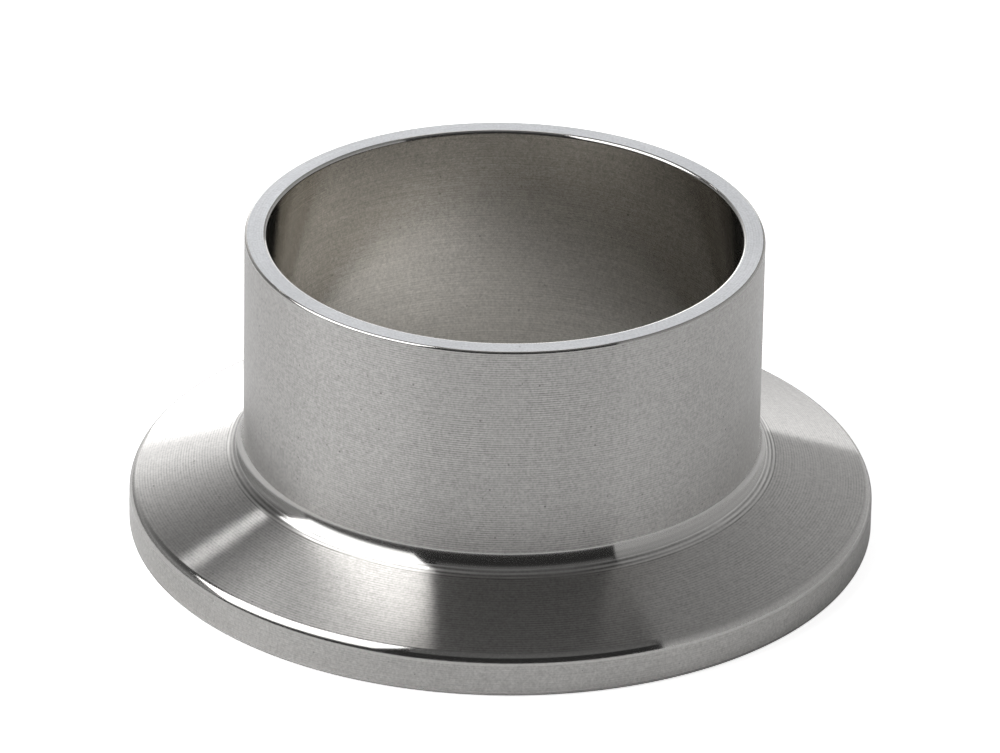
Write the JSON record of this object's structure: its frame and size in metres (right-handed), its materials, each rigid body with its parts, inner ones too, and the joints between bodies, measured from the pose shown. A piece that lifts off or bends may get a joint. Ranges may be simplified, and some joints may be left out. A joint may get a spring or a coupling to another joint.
{
  "type": "sanitary clamp ferrule",
  "caption": "Short weld ferrule for hygienic clamp joints: a thin round tube stub rising from a coned flange with a gasket groove in its sealing face.",
  "frame": {"origin": "centre of the sealing face, on the bore axis", "axes": "+Z along the bore axis, from the sealing face to the weld end; X and Y are free because the part is round"},
  "size_m": [0.0506, 0.0504, 0.0215],
  "materials": {
    "turned_steel": "fine turned stainless steel, satin, with circumferential tool lines"
  },
  "bodies": {
    "root": {"ferrule": "turned_steel"}
  },
  "joints": []
}
